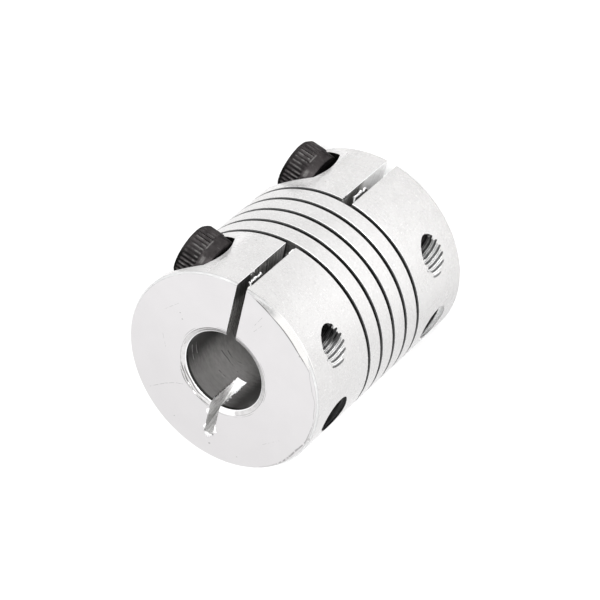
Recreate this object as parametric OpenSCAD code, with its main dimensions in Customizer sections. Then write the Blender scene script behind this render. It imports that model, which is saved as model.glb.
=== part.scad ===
// Clamp-type flexible shaft coupling, cut from one bar, with its two clamp screws.
// It stands on its lower end. The shaft axis is Z and both clamp screws lie along X.

/* [Body] */
// Outside diameter of the coupling
outer_d = 20; // [19:0.5:24]
// Length over both ends
body_len = 25; // [24:0.5:32]
// Shaft bore through both hubs
bore_d = 8; // [5:0.5:8.4]
// Extra diameter of the bore where it passes the flexible section
flex_relief = 0.6; // [0.2:0.1:1]
// Chamfer on the outer edge of each end
edge_chamfer = 0.2; // [0.1:0.05:0.6]
// Width of the chamfer at the mouth of each bore, measured along the radius
bore_chamfer = 0.5; // [0.2:0.05:0.7]
// Depth of the same chamfer, measured along the shaft
bore_chamfer_depth = 0.2; // [0.1:0.05:0.5]

/* [Spiral cut] */
// Height of the spiral cut, measured along the shaft
cut_w = 0.5; // [0.3:0.05:0.7]
// Rise of the spiral for one turn, right-handed
cut_pitch = 2.13; // [1.9:0.01:2.3]
// Whole turns of the spiral between the two slits
cut_turns = 4; // [2:1:4]
// How far the spiral runs on past each slit, in turns
cut_overrun = 0.33; // [0.3:0.01:0.5]

/* [Clamp slits] */
// Width of the clamp slit in each hub
slit_w = 1; // [0.8:0.05:1.5]
// Direction of the upper slit, in degrees from the side where the screws end
upper_slit_deg = 96; // [88:1:98]
// Direction of the lower slit, in degrees from the side where the screws end
lower_slit_deg = 94; // [88:1:98]
// Diameter of the disc-shaped cutter that leaves each slit
saw_d = 32; // [31:0.5:33]
// Distance of the cutter's centre from the shaft axis, towards the slit
saw_offset = 6.65; // [6.4:0.05:6.9]

/* [Clamp screws] */
// Thread diameter of the clamp screws
screw_d = 3; // [2.5:0.5:3]
// Distance of the screw axis from the shaft axis
screw_offset = 6.5; // [6.3:0.1:6.8]
// Distance of the screw axis from the nearer end of the coupling
screw_from_end = 3.9; // [3.6:0.1:4.2]
// Length of the screw under its head
screw_len = 10; // [8:1:11]
// Diameter of the screw head
head_d = 5.5; // [5:0.1:5.6]
// Height of the screw head
head_h = 3; // [2.5:0.1:3.2]
// Width across flats of the hexagon socket
socket_af = 2.5; // [2:0.5:2.5]
// Depth of the hexagon socket
socket_depth = 1.6; // [1:0.1:1.8]
// Distance from the middle plane to the underside of each head
head_seat = 5.35; // [5.2:0.05:5.5]
// Clearance hole for the screw on the head side
clear_d = 3.4; // [3.2:0.1:3.6]
// Diameter of the recess that takes the screw head
recess_d = 6.2; // [6:0.1:6.4]
// Distance from the middle plane to the edge of the upper recess's floor
upper_recess = 5.65; // [5.65:0.05:5.9]
// Distance from the middle plane to the edge of the lower recess's floor
lower_recess = 5.2; // [5.1:0.05:5.65]

/* [Set-screw holes] */
// Thread diameter of the empty set-screw hole in each hub
set_d = 4; // [3:0.5:4]
// Direction of the set-screw holes, in degrees from the side where the screws end
set_deg = -3; // [-6:1:6]

/* [Hidden] */
$fn = 96;
outer_r = outer_d / 2;
bore_r = bore_d / 2;
flex_r = bore_r + flex_relief / 2;
mid_z = body_len / 2;
upper_screw_z = body_len - screw_from_end;
lower_screw_z = screw_from_end;

// The spiral: total turns, its middle height and the direction of that middle
spiral_turns = cut_turns + 2 * cut_overrun;
spiral_mid_deg = (upper_slit_deg + lower_slit_deg) / 2;
spiral_half = cut_turns * cut_pitch / 2;
hub_len = mid_z - spiral_half;
steps_per_turn = 48;
spiral_steps = ceil(spiral_turns * steps_per_turn);
spiral_r_in = bore_r - 1;
spiral_r_out = outer_r + 1;

// The cutter's rim meets the spiral at the outside of the slit
saw_r = saw_d / 2;
saw_above = sqrt(saw_r * saw_r - pow(outer_r - saw_offset, 2)) - hub_len + 0.02;

// Drill-point floor of the screw recess: depth lost for each millimetre of radius
point_slope = tan(31);
recess_r = recess_d / 2;
clear_r = clear_d / 2;
screw_r = screw_d / 2;

// Direction and height of a point on the spiral, t running from 0 to 1
function spiral_deg(t) = spiral_mid_deg + (t - 0.5) * spiral_turns * 360;
function spiral_z(t) = mid_z + (t - 0.5) * spiral_turns * cut_pitch;
function spiral_pt(t, r, dz) =
    [r * cos(spiral_deg(t)), r * sin(spiral_deg(t)), spiral_z(t) + dz];

// Rectangular cut swept along the spiral, from inside the bore to outside the body
module spiral_cut() {
    n = spiral_steps;
    h = cut_w / 2;
    pts = [for (i = [0 : n]) let (t = i / n) each [
        spiral_pt(t, spiral_r_in, -h), spiral_pt(t, spiral_r_out, -h),
        spiral_pt(t, spiral_r_out, h), spiral_pt(t, spiral_r_in, h)]];
    sides = [for (i = [0 : n - 1], j = [0 : 3]) let (
        a = 4 * i + j, b = 4 * i + (j + 1) % 4,
        c = 4 * (i + 1) + (j + 1) % 4, d = 4 * (i + 1) + j) each [[a, b, c], [a, c, d]]];
    caps = [[0, 2, 1], [0, 3, 2], [4 * n, 4 * n + 1, 4 * n + 2], [4 * n, 4 * n + 2, 4 * n + 3]];
    polyhedron(points = pts, faces = concat(sides, caps));
}

// Turned blank: chamfered ends, chamfered bore and the wider bore in the middle
module blank() {
    c = edge_chamfer;
    b = bore_chamfer;
    d = bore_chamfer_depth;
    rotate_extrude()
        polygon([
            [bore_r + b, 0], [outer_r - c, 0], [outer_r, c],
            [outer_r, body_len - c], [outer_r - c, body_len],
            [bore_r + b, body_len], [bore_r, body_len - d],
            [bore_r, body_len - hub_len], [flex_r, body_len - hub_len],
            [flex_r, hub_len], [bore_r, hub_len], [bore_r, d]]);
}

// Disc cut: a slit through one side of the hub and a shallow notch in the far wall of the bore
module slit_cut(dir, z_centre) {
    rotate([0, 0, dir - 90])
        translate([0, saw_offset, z_centre])
            rotate([0, 90, 0])
                cylinder(r = saw_r, h = slit_w, center = true, $fn = 180);
}

// Everything drilled along one clamp screw
module screw_cut(z, recess) {
    floor_in = recess - (recess_r - clear_r) * point_slope;
    translate([0, screw_offset, z]) rotate([0, 90, 0]) {
        // head recess with a drill-point floor
        translate([0, 0, -outer_r - 1])
            cylinder(r = recess_r, h = outer_r + 1 - recess);
        translate([0, 0, -recess])
            cylinder(r1 = recess_r, r2 = clear_r, h = recess - floor_in);
        // clearance hole up to the slit
        translate([0, 0, -recess - 0.5])
            cylinder(r = clear_r, h = recess + 0.5);
        // threaded hole beyond the slit, at the thread's full diameter
        cylinder(r = screw_r, h = outer_r + 1);
    }
}

// Radial threaded hole for a set screw
module set_cut(z) {
    rotate([0, 0, set_deg]) translate([0, 0, z]) rotate([0, 90, 0])
        cylinder(d = set_d, h = outer_r + 1);
}

// One-piece body
module coupling_body() {
    color([0.86, 0.86, 0.87])
    difference() {
        blank();
        spiral_cut();
        slit_cut(upper_slit_deg, body_len + saw_above);
        slit_cut(lower_slit_deg, -saw_above);
        screw_cut(upper_screw_z, upper_recess);
        screw_cut(lower_screw_z, lower_recess);
        set_cut(upper_screw_z);
        set_cut(lower_screw_z);
    }
}

// Socket head cap screw, its axis along X and its head towards -X
module cap_screw(z) {
    collar = 0.8;
    neck_r = head_d / 2 - 0.15;
    translate([-head_seat, screw_offset, z]) rotate([0, 90, 0])
    difference() {
        union() {
            rotate_extrude()
                polygon([
                    [0, -head_h], [head_d / 2 - 0.3, -head_h],
                    [head_d / 2, -head_h + 0.3], [head_d / 2, -collar],
                    [neck_r, 0], [screw_r, 0],
                    [screw_r, screw_len - 0.35], [screw_r - 0.35, screw_len],
                    [0, screw_len]]);
        }
        translate([0, 0, -head_h - 0.01])
            rotate([0, 0, 30])
            cylinder(d = socket_af / cos(30), h = socket_depth + 0.01, $fn = 6);
        // conical bottom of the socket
        translate([0, 0, -head_h + socket_depth - 0.01])
            cylinder(r1 = socket_af / 2 - 0.02, r2 = 0.05, h = 0.45, $fn = 48);
    }
}

module upper_clamp_screw() {
    color([0.16, 0.16, 0.17]) cap_screw(upper_screw_z);
}

module lower_clamp_screw() {
    color([0.16, 0.16, 0.17]) cap_screw(lower_screw_z);
}

coupling_body();
upper_clamp_screw();
lower_clamp_screw();
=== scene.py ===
import math

import bpy
import numpy as np
from mathutils import Matrix, Vector


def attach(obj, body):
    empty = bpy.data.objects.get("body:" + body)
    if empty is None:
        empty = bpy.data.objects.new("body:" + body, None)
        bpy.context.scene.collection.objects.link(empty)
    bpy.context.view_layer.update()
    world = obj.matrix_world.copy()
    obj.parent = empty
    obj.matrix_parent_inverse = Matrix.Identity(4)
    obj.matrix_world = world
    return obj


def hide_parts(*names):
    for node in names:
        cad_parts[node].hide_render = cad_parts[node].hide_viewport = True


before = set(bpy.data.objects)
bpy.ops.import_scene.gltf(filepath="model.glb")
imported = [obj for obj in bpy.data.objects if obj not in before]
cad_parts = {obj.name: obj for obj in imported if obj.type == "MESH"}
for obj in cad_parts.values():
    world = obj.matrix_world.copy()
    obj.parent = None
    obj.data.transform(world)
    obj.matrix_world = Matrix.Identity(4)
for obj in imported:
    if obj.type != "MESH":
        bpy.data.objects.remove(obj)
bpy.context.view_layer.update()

TAU = 2 * math.pi
RNG = np.random.default_rng(20825)

# ---------------------------------------------------------------- dimensions, in mm
R, L = 10.0, 25.0                      # body radius and length
BORE, RELIEF, HUB = 4.0, 4.3, 8.24     # bore, relieved bore, depth of each hub
EDGE_C, BORE_C, BORE_D = 0.2, 0.5, 0.2  # outer chamfer; bore chamfer's width and depth
CUT_W, PITCH, TURNS, MID_DEG = 0.5, 2.13, 4.66, 95.0
SAW_R, SAW_OFF, SLIT_W = 16.0, 6.65, 1.0
SLITS = [(96.0, 32.425), (94.0, -7.425)]   # direction and height of each saw centre
SCREW_Y, SCREW_Z = 6.5, (21.1, 3.9)
RECESS_R, RECESS_X, CLEAR_R = 3.1, (5.65, 5.2), 1.7
SET_DEG = -3.0
THREAD_AT = (-0.2, -0.1)               # where the clamp threads start, along X

# surface numbers, kept on every face so that each cut surface gets its own finish
OUTER, EDGE, FACE, BORECH, BOREWALL, RELIEFWALL, GROOVE, SAWN, DRILLED, THREAD3, THREAD4, BREAK, BURR, DENT, PLUNGE = range(1, 16)


# ---------------------------------------------------------------- mesh building
def link(ob):
    bpy.context.scene.collection.objects.link(ob)
    return ob


def solid(name, verts, faces, tags):
    """A closed mesh with a surface number on each face, its faces turned outwards."""
    verts = np.asarray(verts, float)
    vol = 0.0
    for f in faces:
        a = verts[f[0]]
        for i in range(1, len(f) - 1):
            vol += np.dot(a, np.cross(verts[f[i]], verts[f[i + 1]]))
    if vol < 0:
        faces = [tuple(reversed(f)) for f in faces]
    me = bpy.data.meshes.new(name)
    me.from_pydata([tuple(v) for v in verts], [], [tuple(f) for f in faces])
    me.update()
    at = me.attributes.new("surf", "INT", "FACE")
    at.data.foreach_set("value", np.asarray(tags, np.int32))
    return link(bpy.data.objects.new(name, me))


def rounded(points, tags, radii, seg=4):
    """Rounds the corners of a closed outline. tags[i] belongs to the side from point i to the next."""
    out, otags = [], []
    n = len(points)
    for i in range(n):
        p, a, b = (np.array(points[j], float) for j in (i, i - 1, (i + 1) % n))
        r = radii[i]
        if r <= 0:
            out.append(tuple(p)); otags.append(tags[i])
            continue
        u, v = (a - p) / np.linalg.norm(a - p), (b - p) / np.linalg.norm(b - p)
        half = math.acos(max(-1, min(1, float(u @ v)))) / 2
        d = r / math.tan(half)
        c = p + (u + v) / np.linalg.norm(u + v) * r / math.sin(half)
        s, e = p + u * d - c, p + v * d - c
        a0, a1 = math.atan2(s[1], s[0]), math.atan2(e[1], e[0])
        da = (a1 - a0 + math.pi) % TAU - math.pi
        for k in range(seg + 1):
            w = a0 + da * k / seg
            out.append((c[0] + r * math.cos(w), c[1] + r * math.sin(w)))
            otags.append(EDGE if k < seg else tags[i])
    return out, otags


def ring(name, outline, tags, n):
    """A closed outline of (radius, height) turned about Z."""
    m = len(outline)
    verts, faces, ft = [], [], []
    for i in range(n):
        w = TAU * i / n
        c, s = math.cos(w), math.sin(w)
        verts += [(r * c, r * s, z) for r, z in outline]
    for i in range(n):
        j = (i + 1) % n
        for k in range(m):
            l = (k + 1) % m
            faces.append((i * m + k, j * m + k, j * m + l, i * m + l)); ft.append(tags[k])
    return solid(name, verts, faces, ft)


def turned(name, line, tags, n, shape=None):
    """A line of (radius, height) that starts and ends on the axis, turned about Z. shape(r, z, angle) may change a radius."""
    m = len(line) - 2
    verts = [(0, 0, line[0][1]), (0, 0, line[-1][1])]
    faces, ft = [], []
    for i in range(n):
        w = TAU * i / n
        c, s = math.cos(w), math.sin(w)
        for r, z in line[1:-1]:
            q = shape(r, z, w) if shape else r
            verts.append((q * c, q * s, z))
    for i in range(n):
        j = (i + 1) % n
        a, b = 2 + i * m, 2 + j * m
        faces.append((0, b, a)); ft.append(tags[0])
        for k in range(m - 1):
            faces.append((a + k, b + k, b + k + 1, a + k + 1)); ft.append(tags[k + 1])
        faces.append((1, a + m - 1, b + m - 1)); ft.append(tags[-1])
    return solid(name, verts, faces, ft)


def prism(name, outline, depth, place, tag):
    """An outline in the local XY plane, pushed along local Z from 0 to depth, then put in place by a 4x4 matrix."""
    n = len(outline)
    v = [(x, y, 0, 1) for x, y in outline] + [(x, y, depth, 1) for x, y in outline]
    v = (np.array(place, float) @ np.array(v, float).T).T[:, :3]
    f = [tuple(range(n))[::-1], tuple(range(n, 2 * n))] + [(i, (i + 1) % n, n + (i + 1) % n, n + i) for i in range(n)]
    return solid(name, v, f, [tag] * len(f))


def axes(x, y, z, o):
    m = np.eye(4)
    m[:3, 0], m[:3, 1], m[:3, 2], m[:3, 3] = x, y, z, o
    return m


def put(ob, m):
    ob.data.transform(Matrix(np.array(m, float).tolist()))
    return ob


def along_x(z, y=SCREW_Y, x0=0.0):
    """Turns a piece made about Z so that its axis lies along X on a clamp screw's line."""
    return axes((0, 1, 0), (0, 0, 1), (1, 0, 0), (x0, y, z))


def radial(deg, z):
    w = math.radians(deg)
    return axes((-math.sin(w), math.cos(w), 0), (0, 0, 1), (math.cos(w), math.sin(w), 0), (0, 0, z))


def helix(name, teeth, pitch, z0, turns, tag, n=56):
    """A solid screw shape. teeth lists (height within one pitch, radius); right-handed about Z."""
    k = len(teeth)
    rows = [(z0 + pitch * (j // k) + teeth[j % k][0], teeth[j % k][1]) for j in range(k * turns)]
    J = len(rows)
    verts = []
    for i in range(n):
        w = TAU * i / n
        verts += [(r * math.cos(w), r * math.sin(w), z + pitch * i / n) for z, r in rows]
    faces = []
    for i in range(n - 1):
        for j in range(J - 1):
            faces.append((i * J + j, (i + 1) * J + j, (i + 1) * J + j + 1, i * J + j + 1))
    for j in range(J - 1 - k):
        faces.append(((n - 1) * J + j, j + k, j + k + 1, (n - 1) * J + j + 1))
    lo, hi = len(verts), len(verts) + 1
    verts += [(0, 0, rows[0][0]), (0, 0, rows[-1][0] + pitch * (n - 1) / n)]
    low = [i * J for i in range(n)] + [j for j in range(k, 0, -1)]
    top = [i * J + J - 1 for i in range(n)] + [(n - 1) * J + J - 1 - j for j in range(1, k + 1)]
    for loop, c in ((low, lo), (top, hi)):
        for a, b in zip(loop, loop[1:] + loop[:1]):
            faces.append((c, b, a) if c == lo else (c, a, b))
    return solid(name, verts, faces, [tag] * len(faces))


def strip(name, path, section, seed, tag=BURR, ends=0.12, wobble=0.25):
    """A torn sliver of metal along a line. section lists (sideways, outwards) offsets round its profile; path gives
    (point, sideways, outwards) for each step. The first two offsets are the root and don't wander."""
    rng = np.random.default_rng(seed)
    n, m = len(path), len(section)
    t = np.linspace(0, 1, n)
    env = np.clip(np.minimum(t, 1 - t) / ends, 0.05, 1) ** 0.7
    wide = env * (1 - wobble + wobble * 2 * rng.random(n))
    high = env * (1 - wobble * 0.6 + wobble * 1.2 * rng.random(n))
    root = np.array(section[0], float)
    verts = []
    for i, (p, side, out) in enumerate(path):
        p, side, out = (np.array(q, float) for q in (p, side, out))
        for k, (a, b) in enumerate(section):
            if k > 1:
                a, b = root[0] + (a - root[0]) * wide[i], root[1] + (b - root[1]) * high[i]
            verts.append(p + side * a + out * b)
    faces = [tuple(range(m)), tuple(range((n - 1) * m, n * m))[::-1]]
    for i in range(n - 1):
        for k in range(m):
            a, b = i * m + k, i * m + (k + 1) % m
            faces.append((a, a + m, b + m, b))
    tags = list(tag) if isinstance(tag, tuple) else [tag] * m
    return solid(name, verts, faces, [tags[-1]] * 2 + tags * (n - 1))


def pebble(name, centre, radii, seed, tag=DENT, n=14):
    """A small irregular lump, used to dent an edge."""
    rng = np.random.default_rng(seed)
    line = [(0, -1)] + [(math.sin(math.pi * k / 7), -math.cos(math.pi * k / 7)) for k in range(1, 7)] + [(0, 1)]
    ob = turned(name, line, [tag] * 7, n)
    for v in ob.data.vertices:
        v.co = Vector([v.co[i] * radii[i] * (0.8 + 0.4 * rng.random()) + centre[i] for i in range(3)])
    return ob


def combine(base, steps):
    """Applies booleans one after another, and returns base with the result as its mesh."""
    for op, cutter in steps:
        md = base.modifiers.new("b", "BOOLEAN")
        md.operation, md.object, md.solver = op, cutter, "MANIFOLD"
    dg = bpy.context.evaluated_depsgraph_get()
    me = bpy.data.meshes.new_from_object(base.evaluated_get(dg))
    base.modifiers.clear()
    old = base.data
    base.data = me
    bpy.data.meshes.remove(old)
    for _, cutter in steps:
        data = cutter.data
        bpy.data.objects.remove(cutter)
        if data.users == 0:
            bpy.data.meshes.remove(data)
    return base


def finish_piece(ob, mats, by_tag, node, angle=27, flat=(FACE, SAWN)):
    """Metres, smooth shading with sharp edges, materials by surface number, and its place in the frame."""
    me = ob.data
    me.transform(Matrix.Scale(0.001, 4))
    tags = np.zeros(len(me.polygons), np.int32)
    me.attributes["surf"].data.foreach_get("value", tags)
    me.materials.clear()
    for m in mats:
        me.materials.append(m)
    idx = np.array([by_tag.get(int(t), 0) for t in tags], np.int32)
    me.polygons.foreach_set("material_index", idx)
    me.polygons.foreach_set("use_smooth", np.ones(len(tags), bool))
    me.set_sharp_from_angle(angle=math.radians(angle))
    me.polygons.foreach_set("use_smooth", ~np.isin(tags, flat))
    me.attributes.remove(me.attributes["surf"])
    me.update()
    ob.name = me.name = node + "_skin"
    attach(ob, "root")
    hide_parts(node)
    return ob


# ---------------------------------------------------------------- camera
CAM = (78.718, 214.522, 239.234)
RIGHT = Vector((0.8030041, 0.2687102, -0.5319580))
UP = Vector((-0.5433712, 0.6967509, -0.4682797))
BACK = Vector((0.2448110, 0.6650812, 0.7055033))
cam_data = bpy.data.cameras.new("camera")
cam_data.lens, cam_data.sensor_width, cam_data.sensor_fit = 211.69, 36.0, "HORIZONTAL"
cam_data.clip_start, cam_data.clip_end = 0.01, 10.0
cam = link(bpy.data.objects.new("camera", cam_data))
m = Matrix.Identity(4)
for i, v in enumerate((RIGHT.normalized(), UP.normalized(), BACK.normalized())):
    m[0][i], m[1][i], m[2][i] = v
m[0][3], m[1][3], m[2][3] = (c * 0.001 for c in CAM)
cam.matrix_world = m
bpy.context.scene.camera = cam


# ---------------------------------------------------------------- materials
class Tree:
    """A few short calls for writing node trees."""

    def __init__(self, name):
        self.mat = bpy.data.materials.new(name)
        self.mat.use_nodes = True
        self.nt = self.mat.node_tree
        self.nt.nodes.clear()
        self.out = self.node("ShaderNodeOutputMaterial")
        self.bsdf = self.node("ShaderNodeBsdfPrincipled")
        self.nt.links.new(self.bsdf.outputs["BSDF"], self.out.inputs["Surface"])
        tc = self.node("ShaderNodeTexCoord")
        sc = self.node("ShaderNodeVectorMath", operation="SCALE")
        self.nt.links.new(tc.outputs["Object"], sc.inputs[0])
        sc.inputs["Scale"].default_value = 1000.0
        self.mm = sc.outputs[0]
        sp = self.node("ShaderNodeSeparateXYZ")
        self.nt.links.new(self.mm, sp.inputs[0])
        self.x, self.y, self.z = sp.outputs

    def node(self, kind, **props):
        n = self.nt.nodes.new(kind)
        for k, v in props.items():
            setattr(n, k, v)
        return n

    def plug(self, socket, value):
        if isinstance(value, bpy.types.NodeSocket):
            self.nt.links.new(value, socket)
        else:
            socket.default_value = value

    def math(self, op, a, b=0.0, c=None, clamp=False):
        n = self.node("ShaderNodeMath", operation=op, use_clamp=clamp)
        self.plug(n.inputs[0], a)
        self.plug(n.inputs[1], b)
        if c is not None:
            self.plug(n.inputs[2], c)
        return n.outputs[0]

    def add(self, a, b): return self.math("ADD", a, b)
    def sub(self, a, b): return self.math("SUBTRACT", a, b)
    def mul(self, a, b): return self.math("MULTIPLY", a, b)

    def vec(self, x, y, z):
        n = self.node("ShaderNodeCombineXYZ")
        for s, v in zip(n.inputs, (x, y, z)):
            self.plug(s, v)
        return n.outputs[0]

    def scaled(self, v, x, y, z):
        n = self.node("ShaderNodeVectorMath", operation="MULTIPLY")
        self.plug(n.inputs[0], v)
        n.inputs[1].default_value = (x, y, z)
        return n.outputs[0]

    def noise(self, v, scale, detail=2.0, rough=0.5, distort=0.0):
        n = self.node("ShaderNodeTexNoise")
        self.plug(n.inputs["Vector"], v)
        n.inputs["Scale"].default_value = scale
        n.inputs["Detail"].default_value = detail
        n.inputs["Roughness"].default_value = rough
        n.inputs["Distortion"].default_value = distort
        return n.outputs[0]

    def noise1(self, w, scale, detail=2.0, rough=0.5):
        n = self.node("ShaderNodeTexNoise", noise_dimensions="1D")
        self.plug(n.inputs["W"], w)
        n.inputs["Scale"].default_value = scale
        n.inputs["Detail"].default_value = detail
        n.inputs["Roughness"].default_value = rough
        return n.outputs[0]

    def voronoi(self, v, scale, feature="F1"):
        n = self.node("ShaderNodeTexVoronoi", feature=feature)
        self.plug(n.inputs["Vector"], v)
        n.inputs["Scale"].default_value = scale
        return n.outputs["Distance"]

    def span(self, v, a, b, lo=0.0, hi=1.0, smooth=True):
        n = self.node("ShaderNodeMapRange", interpolation_type="SMOOTHSTEP" if smooth else "LINEAR")
        self.plug(n.inputs["Value"], v)
        for k, w in (("From Min", a), ("From Max", b), ("To Min", lo), ("To Max", hi)):
            self.plug(n.inputs[k], w)
        return n.outputs[0]

    def mix(self, f, a, b):
        n = self.node("ShaderNodeMix", data_type="RGBA")
        self.plug(n.inputs[0], f)
        self.plug(n.inputs[6], (*a, 1) if isinstance(a, tuple) else a)
        self.plug(n.inputs[7], (*b, 1) if isinstance(b, tuple) else b)
        return n.outputs[2]

    def bump(self, height, distance, strength=1.0, normal=None):
        n = self.node("ShaderNodeBump")
        n.inputs["Strength"].default_value = strength
        n.inputs["Distance"].default_value = distance * 0.001
        self.plug(n.inputs["Height"], height)
        if normal is not None:
            self.plug(n.inputs["Normal"], normal)
        return n.outputs[0]

    def radius(self):
        """Distance from the shaft axis."""
        return self.math("SQRT", self.add(self.mul(self.x, self.x), self.mul(self.y, self.y)))

    def stroke(self, a, b, width, coords=None):
        """1 on a straight stroke from a to b in the XY plane, fading to 0 at its width."""
        x, y = coords or (self.x, self.y)
        d = (b[0] - a[0], b[1] - a[1])
        q = d[0] ** 2 + d[1] ** 2
        px, py = self.sub(x, a[0]), self.sub(y, a[1])
        t = self.math("DIVIDE", self.add(self.mul(px, d[0]), self.mul(py, d[1])), q, clamp=True)
        ex, ey = self.sub(px, self.mul(t, d[0])), self.sub(py, self.mul(t, d[1]))
        dist = self.math("SQRT", self.add(self.mul(ex, ex), self.mul(ey, ey)))
        return self.span(dist, 0.0, width, 1.0, 0.0)

    def ring_line(self, r, stops):
        """A line running round the axis. stops lists (angle in degrees, radius, strength, width); gives the line and its strength."""
        lo = min(q[1] for q in stops)
        n = self.node("ShaderNodeValToRGB")
        ramp = n.color_ramp
        ramp.interpolation = "LINEAR"
        while len(ramp.elements) > 1:
            ramp.elements.remove(ramp.elements[-1])
        for i, (deg, rad, strong, width) in enumerate(sorted(stops)):
            e = ramp.elements[0] if i == 0 else ramp.elements.new((deg + 180) / 360)
            e.position = (deg + 180) / 360
            e.color = (rad - lo, strong, width, 1)
        turn = self.math("MULTIPLY_ADD", self.math("ARCTAN2", self.y, self.x), 1 / TAU, 0.5)
        self.plug(n.inputs[0], turn)
        sp = self.node("ShaderNodeSeparateColor")
        self.nt.links.new(n.outputs[0], sp.inputs[0])
        dist = self.math("ABSOLUTE", self.sub(self.sub(r, lo), sp.outputs[0]))
        return self.mul(self.span(dist, 0.0, sp.outputs[2], 1.0, 0.0), sp.outputs[1]), sp.outputs[1]

    def most(self, items):
        top = items[0]
        for i in items[1:]:
            top = self.math("MAXIMUM", top, i)
        return top

    def metal(self, color, rough, normal=None, metallic=1.0):
        b = self.bsdf
        if metallic is not None:
            b.inputs["Metallic"].default_value = metallic
        self.plug(b.inputs["Base Color"], (*color, 1) if isinstance(color, tuple) else color)
        self.plug(b.inputs["Roughness"], rough)
        if normal is not None:
            self.plug(b.inputs["Normal"], normal)
        return self.mat


def alu_outer():
    t = Tree("aluminium_turned")
    wander = t.noise(t.mm, 0.35, 2)
    z = t.add(t.z, t.mul(wander, 0.12))
    lines = t.noise1(z, 9.0, 5, 0.7)
    grain = t.noise(t.mm, 14.0, 3, 0.65)
    cloud = t.noise(t.mm, 0.6, 3, 0.55)
    pits = t.span(t.voronoi(t.mm, 1.15), 0.0, 0.09, 1.0, 0.0)
    rare = t.span(t.noise(t.mm, 0.8, 1), 0.56, 0.6)
    pits = t.mul(pits, rare)
    height = t.add(t.add(t.mul(lines, 0.6), t.mul(grain, 0.5)), t.mul(pits, -1.6))
    tone = t.add(t.mul(cloud, 0.5), t.mul(grain, 0.5))
    col = t.mix(t.span(tone, 0.3, 0.7), (0.585, 0.578, 0.575), (0.64, 0.633, 0.63))
    speck = t.noise(t.mm, 5.5, 3, 0.75)
    col = t.mix(t.span(speck, 0.56, 0.72), col, (0.51, 0.504, 0.502))
    col = t.mix(t.span(speck, 0.44, 0.3), col, (0.74, 0.733, 0.73))
    smear = t.mul(t.stroke(polar(9.8, 83), polar(9.6, 74), 0.34), t.mul(t.span(t.noise(t.mm, 4.0, 3), 0.3, 0.6, 0.3, 0.8), t.span(t.z, 24.6, 24.75)))
    col = t.mix(smear, col, (0.38, 0.38, 0.38))
    # painted shade: the side is darker towards -Y on the +X half, standing in for how the light falls there
    col = t.mix(t.mul(t.span(t.y, 5.5, -1.0, 0.0, 0.38), t.span(t.x, 2.0, 8.0)), col, (0.45, 0.444, 0.447))
    col = t.mix(t.mul(pits, 0.6), col, (0.36, 0.35, 0.34))
    # painted highlight: a lighter band just below the wide stretch of the upper chamfer, between about 41 and 70
    # degrees
    _, wide = t.ring_line(t.radius(), [(-180, 9.8, 0, 0.1), (33, 9.8, 0, 0.1), (41, 9.8, 1, 0.1), (70, 9.8, 1, 0.1), (76, 9.8, 0, 0.1), (180, 9.8, 0, 0.1)])
    col = t.mix(t.mul(wide, t.span(t.z, 24.62, 24.7)), col, (0.8, 0.79, 0.78))
    # painted light round the screw heads: lighter and less metallic there, to lift the dark reflection and shade of the
    # heads
    dy = t.sub(t.y, SCREW_Y)
    dz = t.sub(t.math("ABSOLUTE", t.sub(t.z, 12.5)), (SCREW_Z[0] - SCREW_Z[1]) / 2)
    away = t.math("SQRT", t.add(t.mul(dy, dy), t.mul(dz, dz)))
    head_shade_lift = t.mul(t.span(t.add(away, t.mul(cloud, 0.6)), 5.4, 3.9), t.span(t.x, -4.3, -5.2))
    col = t.mix(t.mul(head_shade_lift, 0.8), col, (0.66, 0.652, 0.648))
    rough = t.span(t.add(t.mul(cloud, 0.6), t.mul(lines, 0.4)), 0.3, 0.7, 0.24, 0.32)
    t.plug(t.bsdf.inputs["Metallic"], t.sub(1.0, t.mul(head_shade_lift, 0.9)))
    return t.metal(col, rough, t.bump(height, 0.006, 0.7), metallic=None)


def polar(r, deg):
    w = math.radians(deg)
    return (r * math.cos(w), r * math.sin(w))


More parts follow.
